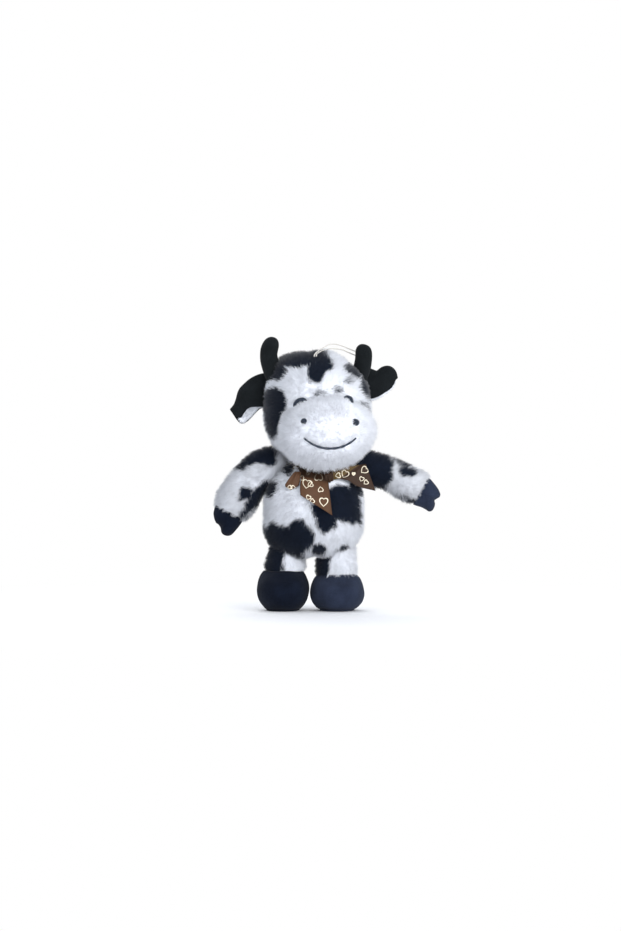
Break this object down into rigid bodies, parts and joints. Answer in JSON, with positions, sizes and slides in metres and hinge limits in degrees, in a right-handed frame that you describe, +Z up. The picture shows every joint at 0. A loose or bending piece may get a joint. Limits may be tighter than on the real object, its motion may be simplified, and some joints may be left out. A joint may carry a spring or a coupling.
{
  "type": "plush cow",
  "caption": "Standing stuffed plush cow with a round head, padded muzzle, horns, folded ears, jointed soft limbs, cloven hooves, a neck ribbon bow and a hanging loop.",
  "frame": {"origin": "centre of the toy's footprint on the floor, under the middle of its bounding box, the hanging loop left out", "axes": "+Z up, -Y the way that the chest faces, +X to the right of someone facing it"},
  "size_m": [0.2094, 0.1228, 0.251],
  "materials": {
    "spotted_plush": "short pile plush, white with black spots",
    "ear_lining_plush": "short pile plush",
    "dark_fleece": "brushed short fleece",
    "horn_fleece": "brushed short fleece",
    "embroidery_thread": "satin stitch",
    "ribbon_satin": "printed satin",
    "loop_thread": "smooth thread",
    "fibre_filling": "loose fibre"
  },
  "bodies": {
    "torso": {"torso_skin": "spotted_plush", "torso_filling": "fibre_filling", "neck_band": "ribbon_satin", "bow_knot": "ribbon_satin", "front_tail": "ribbon_satin", "side_tail": "ribbon_satin", "bow_loop": "ribbon_satin"},
    "head": {"head_skin": "spotted_plush", "head_filling": "fibre_filling", "muzzle_skin": "spotted_plush", "muzzle_filling": "fibre_filling", "mouth_stitching": "embroidery_thread", "left_nostril": "embroidery_thread", "right_nostril": "embroidery_thread", "left_eye": "embroidery_thread", "right_eye": "embroidery_thread", "left_horn": "horn_fleece", "right_horn": "horn_fleece", "hang_loop": "loop_thread"},
    "left_ear": {"left_ear_back": "dark_fleece", "left_ear_lining": "ear_lining_plush"},
    "right_ear": {"right_ear_back": "dark_fleece", "right_ear_lining": "ear_lining_plush"},
    "left_arm": {"left_arm_skin": "spotted_plush", "left_arm_filling": "fibre_filling", "left_hoof": "dark_fleece"},
    "right_arm": {"right_arm_skin": "spotted_plush", "right_arm_filling": "fibre_filling", "right_hoof": "dark_fleece"},
    "left_leg": {"left_leg_skin": "spotted_plush", "left_foot_skin": "dark_fleece", "left_leg_filling": "fibre_filling", "left_sole": "dark_fleece"},
    "right_leg": {"right_leg_skin": "spotted_plush", "right_foot_skin": "dark_fleece", "right_leg_filling": "fibre_filling", "right_sole": "dark_fleece"},
    "tail": {"tail": "spotted_plush", "tail_tuft": "dark_fleece"}
  },
  "joints": [
    {"name": "neck", "type": "hinge", "parent": "torso", "child": "head", "pos_m": [-0.01083, 0.00782, 0.138], "axis": [0, 0, 1], "range_deg": [-15, 15], "stiffness_Nm_per_rad": 0.3},
    {"name": "left_ear_hinge", "type": "hinge", "parent": "head", "child": "left_ear", "pos_m": [-0.06136, 0.01443, 0.203], "axis": [0, 0, 1], "range_deg": [-20, 20], "stiffness_Nm_per_rad": 0.02},
    {"name": "right_ear_hinge", "type": "hinge", "parent": "head", "child": "right_ear", "pos_m": [0.03556, 0.02891, 0.203], "axis": [0, 0, 1], "range_deg": [-20, 20], "stiffness_Nm_per_rad": 0.02},
    {"name": "left_shoulder", "type": "hinge", "parent": "torso", "child": "left_arm", "pos_m": [-0.05233, 0.01382, 0.1265], "axis": [0, 1, 0], "range_deg": [-5, 45], "stiffness_Nm_per_rad": 0.3},
    {"name": "right_shoulder", "type": "hinge", "parent": "torso", "child": "right_arm", "pos_m": [0.02917, 0.01382, 0.1265], "axis": [0, -1, 0], "range_deg": [-35, 12], "stiffness_Nm_per_rad": 0.3},
    {"name": "left_hip", "type": "hinge", "parent": "torso", "child": "left_leg", "pos_m": [-0.03933, 0.00782, 0.06], "axis": [-1, 0, 0], "range_deg": [-12, 34], "stiffness_Nm_per_rad": 1.2},
    {"name": "right_hip", "type": "hinge", "parent": "torso", "child": "right_leg", "pos_m": [0.00847, 0.00782, 0.06], "axis": [-1, 0, 0], "range_deg": [-12, 34], "stiffness_Nm_per_rad": 1.2},
    {"name": "tail_root", "type": "hinge", "parent": "torso", "child": "tail", "pos_m": [-0.01408, 0.04249, 0.074], "axis": [1, 0, 0], "range_deg": [0, 50], "stiffness_Nm_per_rad": 0.02}
  ]
}
